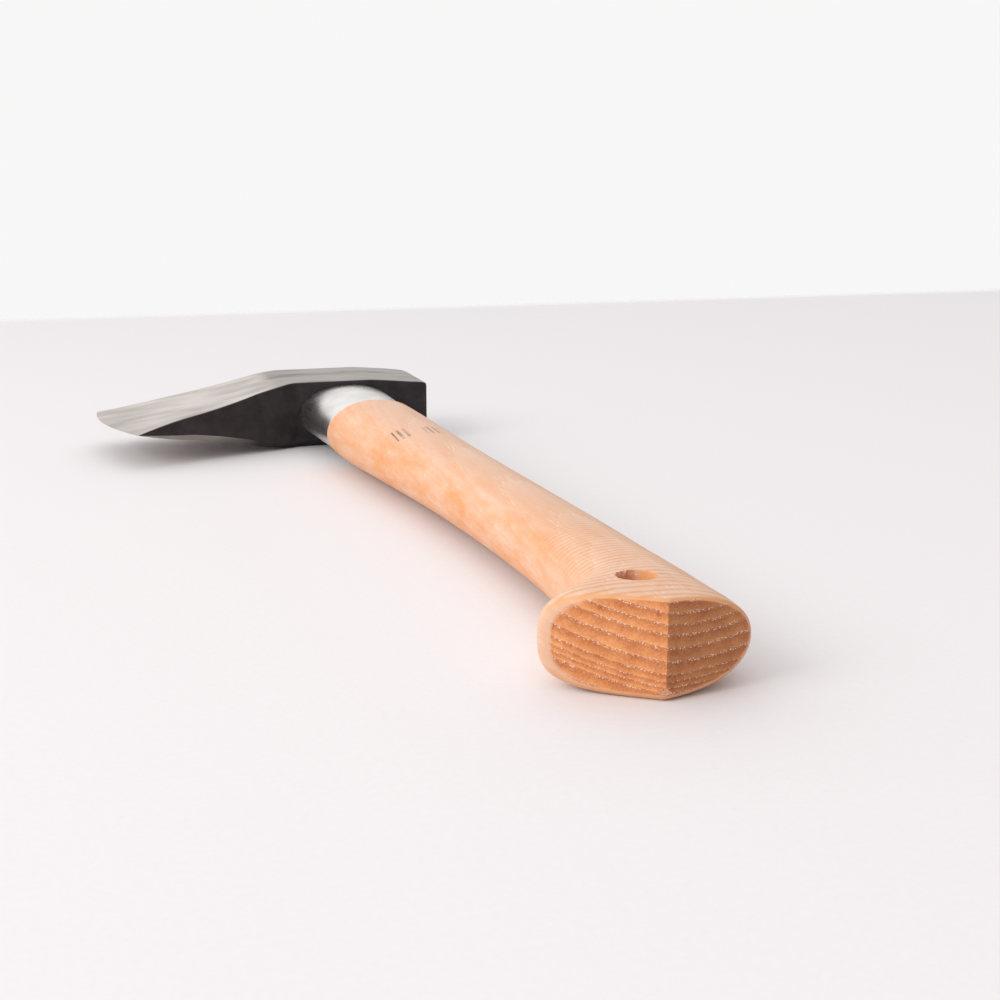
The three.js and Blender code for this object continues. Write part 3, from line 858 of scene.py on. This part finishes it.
# %% Forged head
def forged_head():
    made, tree, mm = material("forged_and_ground_steel")
    axes = add(tree, "SeparateXYZ", mm).node.outputs
    facing_normal = add(tree, "NewGeometry").node.outputs["Normal"]
    facing = add(tree, "SeparateXYZ", facing_normal).node.outputs

    # Hammered scale: patches 6 mm across over a grain of 0.5 mm.
    patches = add(tree, "TexNoise", named={
        "Vector": mm, "Scale": 0.16, "Detail": 5.0, "Roughness": 0.6})
    grit = add(tree, "TexNoise", named={"Vector": mm, "Scale": 2.2, "Detail": 3.0})
    # Belt scratches 0.3 mm apart that run towards the edge, and broad smudges.
    belt = add(tree, "Mapping", mm, (0, 0, 0), (0, 0, 0.12), (3.4, 0.05, 0.6))
    scratch = add(tree, "TexNoise", named={"Vector": belt, "Scale": 1.0, "Detail": 3.0})
    smudge_place = add(tree, "Mapping", mm, (0, 0, 0), (0, 0, 0.1), (0.10, 0.03, 0.06))
    smudge = add(tree, "TexNoise", named={"Vector": smudge_place, "Scale": 1.0, "Detail": 4.0})

    # Where it is bright: on the cheeks, all the way beyond the crease and in streaks over the eye.
    cheek = add(tree, "Math", facing["Z"], operation="ABSOLUTE")
    cheek = add(tree, "MapRange", cheek, 0.72, 0.92, 0.0, 1.0, interpolation_type="SMOOTHSTEP")
    blade = add(tree, "Math", smudge, 22.0, axes["Y"], operation="MULTIPLY_ADD")
    blade = add(tree, "MapRange", blade, 40.0, 54.0, 0.0, 1.0, interpolation_type="SMOOTHSTEP")
    rubbed = add(tree, "MapRange", smudge, 0.36, 0.60, 0.30, 0.85)
    ground = add(tree, "Math", blade, rubbed, operation="MAXIMUM")
    ground = add(tree, "Math", ground, cheek, operation="MULTIPLY")
    arris = add(tree, "VectorMath", facing_normal, (-0.7, 0.0, -0.7), operation="DOT_PRODUCT")
    arris = add(tree, "MapRange", arris.node.outputs["Value"], 0.84, 0.93, 0.0, 1.0)
    heel = add(tree, "MapRange", axes["Y"], 46.0, 66.0, 0.0, 1.0)
    arris = add(tree, "Math", arris, heel, operation="MULTIPLY")
    ground = add(tree, "Math", ground, arris, operation="MAXIMUM")
    poll = add(tree, "MapRange", axes["Y"], POLL_Y + 0.05, POLL_Y + 0.4, 0.8, 0.0)
    ground = add(tree, "Math", ground, poll, operation="MAXIMUM")

    scale_tone = add(tree, "MapRange", patches, 0.3, 0.7, 0.0, 1.0)
    scale = add(tree, "Mix", scale_tone, linear("#262123"), linear("#3d3739"), data_type="RGBA")
    steel_tone = add(tree, "MapRange", smudge, 0.35, 0.65, 0.0, 1.0)
    steel = add(tree, "Mix", steel_tone, linear("#c6bdb6"), linear("#a69e98"), data_type="RGBA")
    colour = add(tree, "Mix", ground, scale, steel, data_type="RGBA")
    metallic = add(tree, "MapRange", ground, 0.0, 1.0, 0.35, 1.0)
    bright_rough = add(tree, "MapRange", smudge, 0.3, 0.7, 0.33, 0.45)
    dull_rough = add(tree, "MapRange", grit, 0.3, 0.7, 0.5, 0.68)
    rough = add(tree, "Mix", ground, dull_rough, bright_rough, data_type="FLOAT")
    scratch_height = add(tree, "Math", scratch, 0.35, operation="MULTIPLY")
    scale_height = add(tree, "Math", grit, 0.35, patches, operation="MULTIPLY_ADD")
    height = add(tree, "Mix", ground, scale_height, scratch_height, data_type="FLOAT")
    finish_material(tree, surface(tree, colour, rough, height, 0.3, 0.25, {"Metallic": metallic}))
    return made


forged = forged_head()
finish_piece(head, "forged_head", "axe_head", forged, sharp=35)

# %% [markdown]
# ## The wedges
#
# A hardwood wedge spreads the tongue across the handle, and a three-legged steel wedge locks it.
# Their shapes in the CAD model are already right, so each is a copy of its CAD node: the loose
# triangles are merged, flat neighbours are dissolved into whole faces, and the corners are eased.

# %% Ease a copy of a CAD node
def eased_copy(node, ease):
    bm = bmesh.new()
    bm.from_mesh(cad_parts[node].data)
    bmesh.ops.remove_doubles(bm, verts=bm.verts, dist=0.01 * MM)
    bmesh.ops.dissolve_limit(bm, angle_limit=math.radians(2), verts=bm.verts, edges=bm.edges)
    corners = [edge for edge in bm.edges if edge.calc_face_angle(0) > math.radians(50)]
    bmesh.ops.bevel(bm, geom=corners, offset=ease * MM, segments=2, profile=0.5, affect="EDGES",
                    material=-1, clamp_overlap=True)
    return bm


def wedge_wood():
    made, tree, mm = material("dry_hardwood_wedge")
    wood = grain(tree, mm, 60, 40, 0.05)
    tone = add(tree, "Math", wood["fibre"], 0.6, wood["year"], operation="MULTIPLY_ADD")
    tone = add(tree, "MapRange", tone, 0.2, 1.3, 0.0, 1.0)
    colour = add(tree, "Mix", tone, linear("#8f6238"), linear("#c59768"), data_type="RGBA")
    colour = add(tree, "Mix", wood["row"], colour, linear("#e3cba8"), data_type="RGBA")
    finish_material(tree, surface(tree, colour, 0.6, wood["fibre"], 0.4, 0.1))
    return made


def wedge_steel():
    made, tree, mm = material("hammered_mild_steel", zero=Vector())
    dents = add(tree, "TexNoise", named={"Vector": mm, "Scale": 0.7, "Detail": 3.0})
    colour = add(tree, "Mix", dents, linear("#8d8a88"), linear("#b9b6b3"), data_type="RGBA")
    rough = add(tree, "MapRange", dents, 0.3, 0.7, 0.3, 0.5)
    finish_material(tree, surface(tree, colour, rough, dents, 0.5, 0.2, {"Metallic": 1.0}))
    return made


finish_piece(eased_copy("wooden_wedge", 0.2), "hardwood_wedge", "wooden_wedge", wedge_wood())
finish_piece(eased_copy("steel_wedge", 0.12), "steel_lock_wedge", "steel_wedge", wedge_steel())

# %% [markdown]
# ## The bench it lies on
#
# The hatchet lies on a sheet of white card that ends behind it. The card's border fades out, so
# that its far edge is soft against the pale room.

# %% A sheet of card
CARD_FAR, CARD_SIDE, CARD_FADE = 911, 900, 45


def card_material():
    made, tree, mm = material("matt_white_card")
    fibre = add(tree, "TexNoise", named={"Vector": mm, "Scale": 0.6, "Detail": 4.0})
    colour = add(tree, "Mix", fibre, linear("#e7e3e4"), linear("#ece9ea"), data_type="RGBA")
    sheet = surface(tree, colour, 0.9, fibre, 0.15, 0.1, {"Specular IOR Level": 0.15})
    axes = add(tree, "SeparateXYZ", mm).node.outputs
    ahead = add(tree, "MapRange", axes["X"], CARD_FAR - CARD_FADE, CARD_FAR, 0.0, 1.0,
                interpolation_type="SMOOTHSTEP")
    clear = add(tree, "BsdfTransparent")
    mixed = add(tree, "MixShader", ahead, sheet, clear)
    finish_material(tree, mixed)
    return made


card_bm = bmesh.new()
bmesh.ops.create_grid(card_bm, x_segments=8, y_segments=8, size=1)
for vert in card_bm.verts:
    x = CARD_FAR if vert.co.x > 0.99 else 5 + vert.co.x * 900
    vert.co = at(x, vert.co.y * CARD_SIDE + 20, 0)
card_mesh = bpy.data.meshes.new("card")
card_bm.to_mesh(card_mesh)
card_bm.free()
card = bpy.data.objects.new("card", card_mesh)
bpy.context.scene.collection.objects.link(card)
card_mesh.materials.append(card_material())
print("card from x =", round(card_mesh.vertices[0].co.x, 3), "m")

# %% [markdown]
# ## Light
#
# A large soft lamp stands low on the blade's side and throws the one soft shadow. The rest is a
# pale room, brighter behind the head and on the lamp's side, and dimmer where the maker stands.
# The camera sees the room as plain white.

# %% Lamp and room
def aim(obj, target):
    obj.rotation_euler = (target - obj.location).to_track_quat("-Z", "Y").to_euler()


lamp_data = bpy.data.lights.new("window_lamp", "AREA")
lamp_data.shape = "SQUARE"
lamp_data.size = 0.8
lamp_data.energy = 8.5
lamp = bpy.data.objects.new("window_lamp", lamp_data)
bpy.context.scene.collection.objects.link(lamp)
lamp.location = at(100, 0, 0) + Vector((-0.32, 1.34, 0.86))
aim(lamp, at(100, 0, 10))

world = bpy.data.worlds.new("pale_room")
world.use_nodes = True
room = world.node_tree
room.nodes.clear()
heading = add(room, "TexCoord").node.outputs["Generated"]
bright_side = add(room, "VectorMath", heading, (0.42, 0.62, 0.62), operation="DOT_PRODUCT")
bright_side = bright_side.node.outputs["Value"]
level = add(room, "MapRange", bright_side, -0.5, 0.7, 0.22, 1.2, interpolation_type="SMOOTHSTEP")
seen = add(room, "LightPath").node.outputs["Is Camera Ray"]
strength = add(room, "Mix", seen, level, 0.94, data_type="FLOAT")
backdrop = add(room, "Background", linear("#fffefe"), strength)
room_output = room.nodes.new("ShaderNodeOutputWorld")
room.links.new(backdrop, room_output.inputs["Surface"])
bpy.context.scene.world = world
bpy.context.scene.view_settings.view_transform = "Standard"
print("lamp at", [round(v, 2) for v in lamp.location])

# %% [markdown]
# The camera stands low behind the butt, on the blade's side, and looks along the handle. Its lens
# is a plain 51 mm one, with no shift and no depth of field.

# %% Camera
camera_data = bpy.data.cameras.new("bench_camera")
camera_data.lens = 51.19
camera_data.sensor_width = 36
camera = bpy.data.objects.new("bench_camera", camera_data)
bpy.context.scene.collection.objects.link(camera)
camera.location = at(-278.07, 126.49, 119.37)
yaw, pitch = math.radians(17.439), math.radians(13.358)
view = Vector((math.cos(yaw) * math.cos(pitch), -math.sin(yaw) * math.cos(pitch), -math.sin(pitch)))
camera.rotation_euler = view.to_track_quat("-Z", "Y").to_euler()
bpy.context.scene.camera = camera
print("camera at", [round(v, 3) for v in camera.location])
